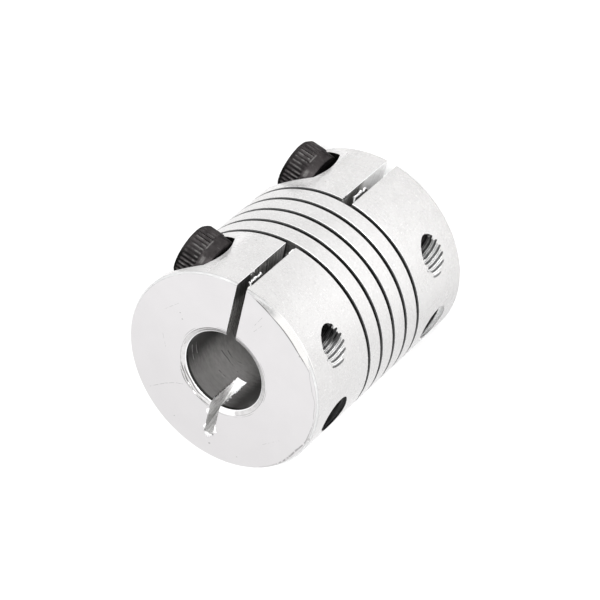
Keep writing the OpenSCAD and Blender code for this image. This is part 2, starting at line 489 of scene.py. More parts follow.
def alu_face():
    t = Tree("aluminium_faced")
    r = t.radius()
    wander = t.noise(t.mm, 0.3, 2)
    rings = t.noise1(t.add(r, t.mul(wander, 0.1)), 7.0, 5, 0.7)
    grain = t.noise(t.mm, 12.0, 3, 0.65)
    cloud = t.noise(t.mm, 0.45, 3, 0.55)
    near = t.math("GREATER_THAN", t.z, 12.5)
    lines = []
    for width, pts in (
        (0.045, [(-6.06, -6.74), (-4.78, -5.31), (-3.9, -4.55), (-3.12, -4.1)]),
        (0.04, [(1.17, 6.55), (1.71, 8.23)]), (0.035, [(1.45, 6.3), (1.95, 7.4)]),
        (0.03, [(5.9, -4.8), (7.3, -3.1)]), (0.03, [(-7.2, 2.4), (-6.1, 4.0)]), (0.03, [(-5.9, -1.4), (-6.6, -0.2)]),
    ):
        lines += [t.stroke(a, b, width) for a, b in zip(pts, pts[1:])]
    # broken up, so that a stroke looks like a scrape and not a drawn line
    scratches = t.mul(t.most(lines), t.span(t.noise(t.mm, 3.0, 2), 0.36, 0.58))
    # the inner border of the wide part of the chamfer, and the bruise beside the bore
    edge, strong = t.ring_line(r, [
        (-180, 9.7, 0, 0.08), (-58, 9.74, 0, 0.08), (-40, 9.74, 0.4, 0.08), (-31, 9.7, 0.9, 0.13), (-24, 9.6, 0.9, 0.14), (-18, 9.54, 0.9, 0.14),
        (-8, 9.72, 0.8, 0.1), (-1, 9.66, 0.6, 0.09), (6, 9.72, 0.4, 0.09), (13, 9.6, 0.45, 0.09), (20, 9.66, 0.35, 0.08), (26, 9.45, 0.45, 0.08),
        (34, 9.49, 0.3, 0.08), (38, 9.66, 0.4, 0.08), (45, 9.45, 0.96, 0.09), (52, 9.32, 1, 0.11), (62, 9.31, 1, 0.12), (73, 9.36, 1, 0.13),
        (80, 9.48, 0.96, 0.13), (86, 9.62, 0.96, 0.1), (90, 9.72, 0, 0.08), (180, 9.7, 0, 0.08)])
    border = t.mul(edge, t.math("MAXIMUM", t.span(t.noise(t.mm, 2.6, 3), 0.34, 0.46), t.span(strong, 0.9, 0.95)))
    beside, _ = t.ring_line(r, [(-180, 4.5, 0, 0.09), (-156, 4.5, 0, 0.09), (-150, 4.46, 1, 0.09), (-139, 4.44, 1, 0.1), (-129, 4.5, 1, 0.1), (-113, 4.56, 1, 0.09),
                                (-98, 4.5, 0.7, 0.08), (-92, 4.5, 0, 0.08), (180, 4.5, 0, 0.09)])
    second, _ = t.ring_line(r, [(-180, 4.62, 0, 0.06), (-150, 4.62, 0, 0.06), (-145, 4.64, 0.8, 0.06), (-132, 4.7, 0.8, 0.07), (-118, 4.62, 0, 0.06), (180, 4.62, 0, 0.06)])
    bruise = t.mul(t.math("MAXIMUM", beside, second), t.span(t.noise(t.mm, 5.0, 3), 0.24, 0.42))
    # a few specks
    dots = t.most([t.stroke((x, y), (x + 0.05, y + 0.03), w) for x, y, w in
                   ((1.18, -8.45, 0.13), (6.2, 6.9, 0.12), (-5.3, 2.6, 0.08), (-5.7, 3.1, 0.07), (4.1, -7.9, 0.06), (-2.9, -8.1, 0.06))])
    arc = t.mul(t.span(t.math("ABSOLUTE", t.sub(r, t.add(4.56, t.mul(wander, 0.12)))), 0.0, 0.05, 1.0, 0.0),
                t.span(t.noise(t.mm, 0.5, 2), 0.4, 0.6))
    marks = t.mul(t.most([t.mul(scratches, 0.6), border, bruise, t.mul(dots, 0.8), t.mul(arc, 0.6)]), near)
    height = t.add(t.add(t.mul(rings, 0.7), t.mul(grain, 0.5)), t.mul(marks, -1.8))
    tone = t.add(t.mul(cloud, 0.5), t.add(t.mul(rings, 0.25), t.mul(grain, 0.25)))
    col = t.mix(t.span(tone, 0.32, 0.68), (0.7, 0.686, 0.693), (0.735, 0.721, 0.728))
    # painted shade: the face darkens towards -Y
    col = t.mix(t.span(t.y, 7.0, -10.0, 0.0, 0.16), col, (0.4, 0.39, 0.39))
    col = t.mix(t.mul(marks, 0.85), col, (0.2, 0.198, 0.196))
    heavy = t.mul(t.math("MAXIMUM", bruise, t.mul(t.mul(border, t.span(strong, 0.92, 0.96)), 0.7)), near)
    col = t.mix(t.mul(heavy, 0.8), col, (0.05, 0.05, 0.05))
    rough = t.span(t.add(t.mul(cloud, 0.5), t.mul(rings, 0.5)), 0.3, 0.7, 0.38, 0.48)
    return t.metal(col, rough, t.bump(height, 0.005, 0.7))


def alu_edge():
    """Chamfers of the outer edge: satin like the rest, with a thin dull line along each border."""
    t = Tree("aluminium_edge")
    r = t.radius()
    n = t.noise(t.mm, 2.5, 4, 0.6)
    fine = t.noise(t.mm, 16.0, 2, 0.5)
    inner = t.span(t.math("ABSOLUTE", t.sub(r, R - EDGE_C + 0.01)), 0.0, 0.05, 1.0, 0.0)
    outer = t.span(t.math("ABSOLUTE", t.sub(r, R - 0.01)), 0.0, 0.05, 1.0, 0.0)
    lines = t.mul(t.math("MAXIMUM", inner, outer), t.span(n, 0.38, 0.56, 0.35, 1.0))
    # painted light and shade: the chamfer's colour is darker along the side towards the slits than along the side away
    # from them, standing in for how the light falls round it
    _, tone = t.ring_line(r, [(-180, 9.8, 0.76, 0.1), (-120, 9.8, 0.88, 0.1), (-70, 9.8, 0.95, 0.1), (-25, 9.8, 0.84, 0.1), (5, 9.8, 0.79, 0.1),
                              (32, 9.8, 0.8, 0.1), (55, 9.8, 0.5, 0.1), (80, 9.8, 0.34, 0.1), (96, 9.8, 0.42, 0.1), (106, 9.8, 0.72, 0.1), (140, 9.8, 0.86, 0.1), (180, 9.8, 0.76, 0.1)])
    tone = t.mul(tone, t.span(n, 0.3, 0.7, 0.93, 1.07))
    col = t.vec(tone, tone, tone)
    col = t.mix(t.mul(lines, 0.5), col, (0.3, 0.3, 0.3))
    # painted highlight: near-white where the rounding meets the bore
    col = t.mix(t.span(r, 4.4, 4.1), col, (0.95, 0.95, 0.95))
    return t.metal(col, t.span(fine, 0.3, 0.7, 0.34, 0.5), t.bump(t.add(n, t.mul(fine, 0.4)), 0.008, 0.6))


def alu_bore_edge():
    t = Tree("aluminium_bore_edge")
    r = t.radius()
    n = t.noise(t.mm, 2.2, 4, 0.6)
    fine = t.noise(t.mm, 14.0, 2, 0.5)
    border = t.span(t.math("ABSOLUTE", t.sub(r, BORE + BORE_C - 0.02)), 0.0, 0.05, 1.0, 0.0)
    border = t.mul(border, t.span(t.noise(t.mm, 0.6, 2), 0.38, 0.58, 0.25, 1.0))
    col = t.mix(t.span(n, 0.36, 0.64), (0.6, 0.59, 0.59), (0.7, 0.69, 0.69))
    outer, _ = t.ring_line(r, [(-180, 4.48, 0.35, 0.06), (-155, 4.48, 0.4, 0.06), (-149, 4.44, 1, 0.1), (-139, 4.42, 1, 0.12), (-129, 4.46, 1, 0.12),
                               (-113, 4.48, 1, 0.1), (-98, 4.46, 0.8, 0.08), (-80, 4.48, 0.3, 0.06), (0, 4.48, 0.6, 0.06), (100, 4.48, 0.5, 0.06),
                               (118, 4.42, 0.9, 0.09), (140, 4.44, 0.9, 0.09), (160, 4.48, 0.35, 0.06), (180, 4.48, 0.35, 0.06)])
    inner, _ = t.ring_line(r, [(-180, 4.2, 0, 0.07), (-152, 4.2, 0, 0.07), (-146, 4.24, 1, 0.08), (-128, 4.14, 1, 0.1), (-112, 4.24, 1, 0.08), (-98, 4.14, 0.6, 0.07),
                               (-92, 4.2, 0, 0.07), (95, 4.2, 0, 0.07), (112, 4.24, 0.9, 0.09), (135, 4.22, 0.9, 0.09), (155, 4.2, 0, 0.07), (180, 4.2, 0, 0.07)])
    lines = t.mul(t.math("MAXIMUM", outer, inner), t.span(fine, 0.3, 0.5, 0.5, 1.0))
    col = t.mix(t.mul(lines, 0.92), col, (0.06, 0.059, 0.058))
    # painted highlights: a near-white facet beside the notch, and a near-white line round the rim of the bore
    w = math.radians(-66)
    facet_highlight = t.math("DIVIDE", t.add(t.mul(t.x, math.cos(w)), t.mul(t.y, math.sin(w))), r)
    facet_highlight = t.span(t.add(facet_highlight, t.mul(t.sub(n, 0.5), 0.03)), 0.972, 0.985)
    rim_highlight = t.span(t.add(r, t.mul(t.sub(n, 0.5), 0.06)), BORE + 0.1, BORE + 0.06)
    col = t.mix(t.math("MAXIMUM", facet_highlight, rim_highlight), col, (0.97, 0.97, 0.97))
    return t.metal(col, t.span(fine, 0.3, 0.7, 0.28, 0.4), t.bump(t.add(n, t.mul(fine, 0.3)), 0.012, 0.6))


def alu_break():
    """Edges broken by tumbling, smooth, and coloured near-white as a painted highlight along each edge."""
    t = Tree("aluminium_broken_edge")
    n = t.noise(t.mm, 7.0, 3, 0.6)
    col = t.mix(t.span(n, 0.35, 0.6), (0.8, 0.8, 0.8), (0.97, 0.97, 0.97))
    return t.metal(col, t.span(n, 0.3, 0.7, 0.22, 0.36), t.bump(n, 0.01, 0.6))


def alu_bore():
    t = Tree("aluminium_bored")
    wander = t.noise(t.mm, 0.25, 2)
    z = t.add(t.z, t.mul(wander, 0.7))
    coarse = t.noise1(z, 1.6, 3, 0.6)
    lines = t.noise1(z, 11.0, 4, 0.7)
    fine = t.noise(t.scaled(t.mm, 1, 1, 2.5), 1.6, 4, 0.65)
    height = t.add(t.mul(coarse, 0.2), t.add(t.mul(lines, 0.2), t.mul(fine, 0.4)))
    tone = t.add(t.mul(coarse, 0.25), t.add(t.mul(lines, 0.1), t.mul(fine, 0.65)))
    col = t.mix(t.span(tone, 0.34, 0.66), (0.53, 0.517, 0.51), (0.65, 0.635, 0.626))
    # painted light and shade: the wall keeps its colour on the side facing 250 degrees, away from the slits, and is
    # painted dark to both sides of it
    w = math.radians(250)
    lit_side = t.math("DIVIDE", t.add(t.mul(t.x, math.cos(w)), t.mul(t.y, math.sin(w))), t.radius())
    col = t.mix(t.span(t.add(lit_side, t.mul(t.sub(fine, 0.5), 0.12)), 0.6, 1.0), t.mix(0.84, col, (0.02, 0.019, 0.019)), col)
    off = t.math("ABSOLUTE", t.sub(t.z, 12.5))
    col = t.mix(t.span(off, 6.5, 11.5, 0.0, 0.5), col, (0.03, 0.029, 0.028))
    # painted shadow: a near-black band just below each chamfer
    col = t.mix(t.mul(t.span(off, 11.85, 12.05), 0.85), col, (0.006, 0.006, 0.006))
    # arcs scored by the tool, each a light line with a dark one beside it
    turn = t.mul(t.math("ARCTAN2", t.y, t.x), BORE)
    light, deep = [], []
    for width, pts in ((0.09, [(228, 19.98), (241, 19.84), (252, 19.92), (263, 20.08)]), (0.08, [(234, 19.3), (246, 19.32), (256, 19.02), (264, 18.74)]),
                       (0.08, [(246, 21.58), (257, 21.54)]), (0.09, [(186, 23.9), (198, 23.76), (210, 23.7)]), (0.09, [(188, 23.2), (206, 23.05)]),
                       (0.07, [(212, 17.6), (226, 17.7)]), (0.07, [(268, 22.3), (281, 22.5)])):
        at = [(math.radians(a - 360) * BORE, h) for a, h in pts]
        light += [t.stroke(a, b, width, (turn, t.z)) for a, b in zip(at, at[1:])]
        deep += [t.stroke((a[0], a[1] - 0.17), (b[0], b[1] - 0.17), width * 1.2, (turn, t.z)) for a, b in zip(at, at[1:])]
    broken = t.span(t.noise(t.mm, 1.1, 2), 0.36, 0.52)
    col = t.mix(t.mul(t.mul(t.most(light), broken), 0.42), col, (0.8, 0.79, 0.78))
    col = t.mix(t.mul(t.mul(t.most(deep), broken), 0.6), col, (0.03, 0.03, 0.03))
    pits = t.mul(t.span(t.voronoi(t.mm, 2.0), 0.0, 0.16, 1.0, 0.0), t.mul(t.span(t.x, 0.9, 2.2), t.span(t.z, 15.5, 17.0)))
    col = t.mix(t.mul(pits, 0.6), col, (0.05, 0.05, 0.05))
    return t.metal(col, t.span(lines, 0.3, 0.7, 0.36, 0.48), t.bump(height, 0.008, 0.6), metallic=0.4)


def alu_sawn():
    """Walls left by the slitting saw: marks are arcs about the saw's own centre."""
    t = Tree("aluminium_sawn")
    up = t.math("GREATER_THAN", t.z, 12.5)
    arcs, across = [], []
    for deg, zc in SLITS:
        w = math.radians(deg)
        u = t.sub(t.add(t.mul(t.x, math.cos(w)), t.mul(t.y, math.sin(w))), SAW_OFF)
        v = t.sub(t.z, zc)
        arcs.append(t.math("SQRT", t.add(t.mul(u, u), t.mul(v, v))))
        across.append(t.sub(t.mul(t.x, math.sin(w)), t.mul(t.y, math.cos(w))))
    down = t.sub(1.0, up)
    dist = t.add(t.mul(arcs[0], up), t.mul(arcs[1], down))
    side = t.add(t.mul(across[0], up), t.mul(across[1], down))
    wander = t.noise(t.mm, 0.8, 2)
    q = t.add(dist, t.mul(wander, 0.25))
    lines = t.noise1(q, 5.5, 4, 0.75)
    tear = t.noise(t.mm, 5.0, 3, 0.7)
    # the floor of the notch is streaked along its length
    w = math.radians(95)
    along = t.add(t.mul(t.x, math.cos(w)), t.mul(t.y, math.sin(w)))
    notch = t.span(along, -3.0, -3.4)
    streaks = t.noise(t.vec(t.mul(side, 5.5), t.mul(t.z, 0.5), along), 1.0, 4, 0.75, 0.4)
    height = t.add(t.add(lines, t.mul(tear, 0.45)), t.mul(t.mul(streaks, notch), 1.6))
    tone = t.add(t.mul(lines, 0.7), t.mul(tear, 0.3))
    # painted shade: the slit walls are given a dark palette
    dark = t.mix(t.span(tone, 0.41, 0.59), (0.05, 0.047, 0.045), (0.5, 0.49, 0.48))
    # painted light: each wall is lighter beside the spiral cut; the notch's floor gets the lighter palette below
    lit_mid = t.mul(t.span(t.math("ABSOLUTE", t.sub(t.z, 12.5)), 6.4, 4.8), t.span(lines, 0.35, 0.6))
    dark = t.mix(t.mul(lit_mid, 0.6), dark, (0.9, 0.9, 0.9))
    # darker where the wall meets the outside, near each face
    r = t.radius()
    corner_dark = t.mul(t.span(r, 7.0, 8.4), t.span(t.math("ABSOLUTE", t.sub(t.z, 12.5)), 9.6, 10.6))
    dark = t.mix(t.mul(corner_dark, 0.75), dark, (0.01, 0.01, 0.01))
    light = t.mix(t.span(t.add(t.mul(streaks, 0.75), t.mul(tear, 0.25)), 0.36, 0.62), (0.46, 0.455, 0.45), (0.93, 0.925, 0.92))
    light = t.mix(t.mul(t.span(along, -5.0, -7.0), 0.45), light, (0.16, 0.158, 0.155))
    runout = t.span(t.math("ABSOLUTE", t.sub(t.z, 12.5)), 9.2, 8.6)
    light = t.mix(t.mul(runout, t.span(tear, 0.3, 0.42)), light, (0.99, 0.99, 0.99))
    # the lower slit lets light in from its open end
    lowend = t.span(t.add(t.z, t.mul(t.sub(tear, 0.5), 1.2)), 5.1, 3.9)
    pale = t.mix(t.span(tone, 0.36, 0.6), (0.8, 0.795, 0.79), (1.0, 1.0, 1.0))
    col = t.mix(notch, t.mix(lowend, dark, pale), light)
    # painted shadow along the mouths of both slits
    mouth_shadow = t.math("MAXIMUM", t.span(r, R - 0.2, R - 0.07), t.span(t.math("ABSOLUTE", t.sub(t.z, 12.5)), 12.3, 12.43))
    mouth_shadow = t.mul(mouth_shadow, t.sub(1.0, t.math("MAXIMUM", notch, lowend)))
    col = t.mix(t.mul(mouth_shadow, 0.85), col, (0.02, 0.02, 0.02))
    return t.metal(col, t.span(tone, 0.3, 0.7, 0.36, 0.55), t.bump(height, 0.03, 0.9), metallic=0.5)


def alu_groove():
    t = Tree("aluminium_groove")
    r = t.radius()
    n = t.noise(t.mm, 4.0, 3, 0.6)
    lines = t.noise1(r, 9.0, 3, 0.7)
    # painted shade: the groove's walls are near-black, lighter only at the mouth
    mouth = t.span(t.add(r, t.mul(n, 0.06)), 9.72, 10.02)
    col = t.mix(mouth, t.mix(n, (0.006, 0.006, 0.006), (0.02, 0.02, 0.02)), (0.36, 0.36, 0.36))
    # dull grey where the slits let light reach the walls
    w = math.radians(MID_DEG)
    side = t.math("ABSOLUTE", t.sub(t.mul(t.x, math.sin(w)), t.mul(t.y, math.cos(w))))
    lit = t.mul(t.span(side, 1.0, 0.6), t.mul(t.span(t.y, 3.0, 5.0), t.span(t.math("ABSOLUTE", t.sub(t.z, 12.5)), 3.2, 3.8)))
    col = t.mix(t.mul(lit, t.span(n, 0.35, 0.6, 0.5, 1.0)), col, (0.16, 0.158, 0.155))
    return t.metal(col, 0.45, t.bump(t.add(n, lines), 0.015, 0.6), metallic=0.6)


def alu_thread(name, centres, axis_x, crest, root):
    """Tapped threads: torn bright crests over roots painted darker as shade, told apart by the distance from the hole's
    axis.
    """
    t = Tree(name)
    up = t.math("GREATER_THAN", t.z, 12.5)
    dz = t.sub(t.z, t.add(t.mul(up, centres[0] - centres[1]), centres[1]))
    w = math.radians(SET_DEG)
    if axis_x:
        dy = t.sub(t.y, SCREW_Y)
        # painted shade: the hole is dark away from its mouth and near-white near it
        painted_lit = t.span(t.add(t.x, t.mul(t.noise(t.mm, 1.3, 2), 0.8)), 6.3, 7.3)
        shade, light = (0.09, 0.086, 0.086), (0.98, 0.98, 0.98)
    else:
        # painted light and shade: near the mouth the rear hole is near-white and the front one dark; deeper both are
        # dark
        dy = t.sub(t.mul(t.y, math.cos(w)), t.mul(t.x, math.sin(w)))
        out = t.add(t.mul(t.x, math.cos(w)), t.mul(t.y, math.sin(w)))
        painted_lit = t.span(t.add(out, t.mul(t.noise(t.mm, 2.0, 2), 0.1)), 9.47, 9.58)
        shade = (0.015, 0.015, 0.015)
        light = t.mix(up, (1.0, 1.0, 1.0), (0.08, 0.08, 0.08))
    r = t.math("SQRT", t.add(t.mul(dy, dy), t.mul(dz, dz)))
    tear = t.noise(t.mm, 6.0, 4, 0.7)
    fine = t.noise(t.mm, 22.0, 2, 0.6)
    # painted shade: the thread's roots are darker than its crests
    edge = t.span(t.add(r, t.mul(t.sub(tear, 0.5), 0.12)), crest, root, 1.0, 0.0)
    base = t.mix(painted_lit, shade, light)
    low = t.mix(painted_lit, (0.02, 0.02, 0.02), t.mix(0.8, light, (0.01, 0.01, 0.01)))
    if axis_x:
        # the side of the mouth towards the middle of the coupling is in shadow and dirty
        inner = t.mul(t.math("SIGN", t.sub(12.5, t.z)), dz)
        low_side = t.mul(t.span(inner, 0.75, 1.3), t.span(t.x, 7.6, 6.9))
        base = t.mix(low_side, base, (0.01, 0.01, 0.01))
    else:
        low = t.mix(0.25, base, low)
    col = t.mix(edge, low, base)
    col = t.mix(t.span(tear, 0.36, 0.5), t.mix(0.3, col, (0.08, 0.08, 0.08)), col)
    return t.metal(col, t.span(fine, 0.3, 0.7, 0.26, 0.42), t.bump(t.add(tear, t.mul(fine, 0.4)), 0.03, 0.5), metallic=0.2)


def alu_drilled():
    t = Tree("aluminium_drilled")
    n = t.noise1(t.x, 6.0, 4, 0.7)
    f = t.noise(t.mm, 7.0, 3, 0.6)
    # painted shade: the recess walls are near-black
    col = t.mix(t.span(t.add(t.mul(n, 0.5), t.mul(f, 0.5)), 0.35, 0.65), (0.012, 0.011, 0.011), (0.06, 0.056, 0.053))
    # painted light: near-white on the wall on the -Y side near the mouth, above the head
    painted_lit = t.mul(t.span(t.y, 6.3, 5.3), t.span(t.add(t.x, t.mul(f, 0.3)), -7.7, -8.1))
    col = t.mix(painted_lit, col, (0.95, 0.95, 0.95))
    return t.metal(col, 0.42, t.bump(t.add(n, t.mul(f, 0.5)), 0.02, 0.8), metallic=0.6)


def alu_burr():
    t = Tree("aluminium_burr")
    n = t.noise(t.mm, 9.0, 3, 0.7)
    col = t.mix(t.span(n, 0.4, 0.6), (0.82, 0.82, 0.82), (0.97, 0.97, 0.97))
    return t.metal(col, 0.3, t.bump(n, 0.03, 0.7), metallic=0.7)


def black_oxide(z0):
    t = Tree("steel_black_oxide_%02d" % round(z0))
    dy, dz = t.sub(t.y, SCREW_Y), t.sub(t.z, z0)
    r = t.math("SQRT", t.add(t.mul(dy, dy), t.mul(dz, dz)))
    cloud = t.noise(t.mm, 1.1, 3, 0.6)
    grain = t.noise(t.mm, 18.0, 3, 0.65)
    worn = t.span(t.noise(t.mm, 3.4, 4, 0.7), 0.58, 0.74)
    col = t.mix(t.span(t.add(t.mul(cloud, 0.6), t.mul(grain, 0.4)), 0.32, 0.68), (0.027, 0.0242, 0.0246), (0.066, 0.06, 0.0607))
    col = t.mix(t.mul(worn, 0.35), col, (0.2, 0.196, 0.192))
    # the knurl's crests and the corner of the top are lighter: partly black worn off, partly a painted highlight that
    # is stronger towards +Z
    knurl = t.mul(t.span(r, 2.68, 2.75), t.mul(t.span(t.x, -6.2, -6.4), t.span(t.x, -8.1, -7.7)))
    rubbed_and_sheen = t.mul(t.span(t.noise(t.mm, 1.6, 3, 0.65), 0.42, 0.62), t.span(dz, 1.2, -1.2, 1.0, 0.35))
    col = t.mix(t.mul(knurl, t.mul(rubbed_and_sheen, t.span(grain, 0.3, 0.6, 0.5, 1.0))), col, (0.19, 0.186, 0.182))
    # painted highlights on the collar's corner and in a patch beside it, and painted shadow in the knurl next to the
    # recess
    collar_highlight = []
    for deg, wide, band in ((16, 11, t.mul(t.span(t.math("ABSOLUTE", t.add(t.x, 6.42)), 0.09, 0.03), 0.5)), (51, 7, t.mul(t.mul(t.span(t.x, -6.36, -6.2), t.span(t.x, -5.85, -6.0)), t.span(grain, 0.38, 0.62, 0.1, 0.42)))):
        w = math.radians(deg)
        turn = t.math("DIVIDE", t.add(t.mul(dy, math.cos(w)), t.mul(dz, math.sin(w))), r)
        collar_highlight.append(t.mul(t.span(turn, math.cos(math.radians(wide + 3)), math.cos(math.radians(wide - 3))), band))
    col = t.mix(t.most(collar_highlight), col, (0.26, 0.254, 0.248))
    knurl_shadow = t.mul(t.span(r, 2.7, 2.65), t.mul(t.span(dz, 1.7, 2.4), t.span(t.x, -6.4, -6.6)))
    col = t.mix(t.mul(knurl_shadow, 0.9), col, (0.004, 0.004, 0.004))
    rough = t.span(t.add(t.mul(cloud, 0.4), t.mul(grain, 0.6)), 0.3, 0.7, 0.36, 0.54)
    t.bsdf.inputs["Specular IOR Level"].default_value = 0.3
    t.bsdf.inputs["Specular Tint"].default_value = (0.25, 0.25, 0.25, 1)
    return t.metal(col, rough, t.bump(t.add(t.mul(grain, 0.7), cloud), 0.012, 0.8), metallic=0.85)


# ---------------------------------------------------------------- the body
def build_body():
    c, b, d = EDGE_C, BORE_C, BORE_D
    outline = [(BORE + b, 0), (R - c, 0), (R, c), (R, L - c), (R - c, L), (BORE + b, L), (BORE, L - d),
               (BORE, L - HUB), (RELIEF, L - HUB), (RELIEF, HUB), (BORE, HUB), (BORE, d)]
    tags = [FACE, EDGE, OUTER, EDGE, FACE, BORECH, BOREWALL, RELIEFWALL, RELIEFWALL, RELIEFWALL, BOREWALL, BORECH]
    radii = [0.02, 0.03, 0.04, 0.04, 0.03, 0.02, 0.05, 0, 0.1, 0.1, 0, 0.05]
    line, lt = rounded(outline, tags, radii, 3)
    body = ring("body", line, lt, 384)
    steps = []

    # spiral cut, its mouth broken by a hair's breadth
    per, h, e = 180, CUT_W / 2 - 0.015, 0.022
    n = int(round(TURNS * per))
    sec = [(3.0, -h), (R - e, -h), (R + 0.35, -h - e - 0.35), (R + 0.35, h + e + 0.35), (R - e, h), (3.0, h)]
    stag = [GROOVE, BREAK, BREAK, BREAK, GROOVE, GROOVE]
    verts, faces, ft = [], [], []
    arc = 0.25 / 7.0 / TAU * per          # the last quarter of a millimetre narrows, as a cutter leaves it
    for i in range(n + 1):
        t = i / n
        w = math.radians(MID_DEG + (t - 0.5) * TURNS * 360)
        z = L / 2 + (t - 0.5) * TURNS * PITCH
        s = min(i, n - i)
        k = 1.0 if s >= arc else max(0.3, math.sqrt(1 - (1 - s / arc) ** 2))
        verts += [(r * math.cos(w), r * math.sin(w), z + dz * k) for r, dz in sec]
    for i in range(n):
        for k in range(6):
            a, q = i * 6 + k, i * 6 + (k + 1) % 6
            faces.append((a, q, q + 6, a + 6)); ft.append(stag[k])
    faces += [tuple(range(6))[::-1], tuple(range(n * 6, n * 6 + 6))]
    ft += [GROOVE, GROOVE]
    steps.append(("DIFFERENCE", solid("spiral", verts, faces, ft)))

    # slits and notches, left by one disc cutter at each end, and their broken edges
    for deg, zc in SLITS:
        w = math.radians(deg)
        u, v, z = np.array((math.cos(w), math.sin(w), 0)), np.array((math.sin(w), -math.cos(w), 0)), np.array((0, 0, 1.0))
        o = u * SAW_OFF + z * zc - v * SLIT_W / 2
        disc = [(SAW_R * math.cos(TAU * k / 900), SAW_R * math.sin(TAU * k / 900)) for k in range(900)]
        steps.append(("DIFFERENCE", prism("disc", disc, SLIT_W, axes(u, z, v, o), SAWN)))
        top = zc > L / 2
        zf, s = (L, 1) if top else (0, -1)
        e, g = 0.03, SLIT_W / 2
        mouth = [(-g - e - 0.1, s * 0.1), (-g + 0.005, -s * (e + 0.005)), (g - 0.005, -s * (e + 0.005)), (g + e + 0.1, s * 0.1)]
        steps.append(("DIFFERENCE", prism("mouth", mouth, 18.3, axes(v, z, u, -7.42 * u + z * zf), BREAK)))
        y0 = math.sqrt(R * R - g * g)
        side = [(-g - e - 0.1, 0.1), (-g + 0.005, -e - 0.005), (g - 0.005, -e - 0.005), (g + e + 0.1, 0.1)]
        steps.append(("DIFFERENCE", prism("side", side, s * 8.6, axes(v, u, z, y0 * u + z * (L / 2 + s * 4.15)), BREAK)))

    # clamp screw holes: recess with a drill-point floor, clearance, tapped thread with a split crest
    slope = math.tan(math.radians(31))
    for z, rec, start in zip(SCREW_Z, RECESS_X, THREAD_AT):
        inner = -rec + (RECESS_R - CLEAR_R) * slope
        line = [(0, -11.2), (RECESS_R, -11.2), (RECESS_R, -rec), (CLEAR_R, inner), (CLEAR_R, 0.0), (0, 0.0)]
        steps.append(("DIFFERENCE", put(turned("recess", line, [DRILLED] * 5, 192), along_x(z))))
        teeth = [(-0.05, 1.58), (0.05, 1.58), (0.14, 1.28), (0.19, 1.28), (0.25, 1.4), (0.31, 1.28), (0.36, 1.28)]
        steps.append(("DIFFERENCE", put(helix("tap3", teeth, 0.5, -1.0 + start, 24, THREAD3, 72), along_x(z))))
        # the mouth's crests are worn off on the side away from the shaft
        arc = [math.radians(-40 + 10 * k) for k in range(13)]
        worn = [(1.57 * math.cos(a), 1.57 * math.sin(a)) for a in arc] + [(1.1 * math.cos(a), 1.1 * math.sin(a)) for a in arc[::-1]]
        steps.append(("DIFFERENCE", prism("worn", worn, 2.1, axes((0, 1, 0), (0, 0, 1), (1, 0, 0), (5.2, SCREW_Y, z)), THREAD3)))
        # set-screw hole
        teeth = [(0, 2.06), (0.0875, 2.06), (0.3063, 1.66), (0.4813, 1.66)]
        steps.append(("DIFFERENCE", put(helix("tap4", teeth, 0.7, 2.85, 12, THREAD4, 96), radial(SET_DEG, z))))

    # a stretch of the upper edge where the chamfer runs wider and flatter
    verts, faces = [], []
    span = np.linspace(37, 88, 52)
    for a in span:
        q = math.radians(a)
        k = max(0.0, min(1.0, (a - 37) / 14, (88 - a) / 15))
        k = k * k * (3 - 2 * k)
        ri = R - EDGE_C - 0.03 - 0.4 * k
        for r, z in ((ri, L), (R + 0.1, L - 0.012 - 0.27 * k), (R + 0.1, L + 0.2), (ri, L + 0.2)):
            verts.append((r * math.cos(q), r * math.sin(q), z))
    for i in range(len(span) - 1):
        for k in range(4):
            faces.append((i * 4 + k, i * 4 + (k + 1) % 4, (i + 1) * 4 + (k + 1) % 4, (i + 1) * 4 + k))
    faces += [(0, 1, 2, 3)[::-1], tuple(range(len(verts) - 4, len(verts)))]
    steps.append(("DIFFERENCE", solid("wide_edge", verts, faces, [DENT] * len(faces))))

    body = combine(body, steps)

    # torn edges: slivers folded into the slits along the edge on the screws' tip side, a lump on the other edge
    def along(deg, at, z0, z1, sign, n=24):
        """Steps up a slit at a sideways place from its middle plane; sideways points from there into the slit."""
        w = math.radians(deg)
        u, v = np.array((math.cos(w), math.sin(w), 0)), np.array((math.sin(w), -math.cos(w), 0))
        y = math.sqrt(R * R - 0.25)
        return [(u * y + v * at + np.array((0, 0, z0 + (z1 - z0) * k / (n - 1))), -sign * v, u) for k in range(n)]

    sliver = [(-0.08, -0.85), (-0.08, -0.6), (0.19, -0.46), (0.25, -0.08), (0.29, -0.015), (0.42, -0.03), (0.44, -0.2), (0.3, -0.72)]
    white = (SAWN, SAWN, GROOVE, BURR, BURR, BURR, SAWN, SAWN)
    lump = [(-0.08, -0.36), (-0.08, -0.1), (0.02, -0.01), (0.1, -0.02), (0.14, -0.12), (0.07, -0.3)]
    small = [(-0.05, -0.2), (-0.05, -0.04), (0.02, 0.012), (0.07, -0.01), (0.09, -0.08), (0.04, -0.18)]
    burrs = []
    for deg, sign, z0, z1, sec, seed, tag, wob in (
        (96, 1, 24.1, 21.85, sliver, 1, white, 0.22), (96, -1, 22.75, 22.2, lump, 2, DENT, 0.3),
        (96, 1, 18.1, 17.2, small, 3, BURR, 0.4), (96, 1, 24.75, 24.3, small, 4, DENT, 0.4),
        (94, 1, 7.35, 4.75, sliver, 6, white, 0.22), (94, -1, 8.0, 7.2, lump, 7, SAWN, 0.3), (94, 1, 2.4, 1.6, small, 8, BREAK, 0.4),
    ):
        burrs.append(("UNION", strip("burr", along(deg, sign * SLIT_W / 2, z0, z1, sign), sec, seed, tag, wobble=wob)))
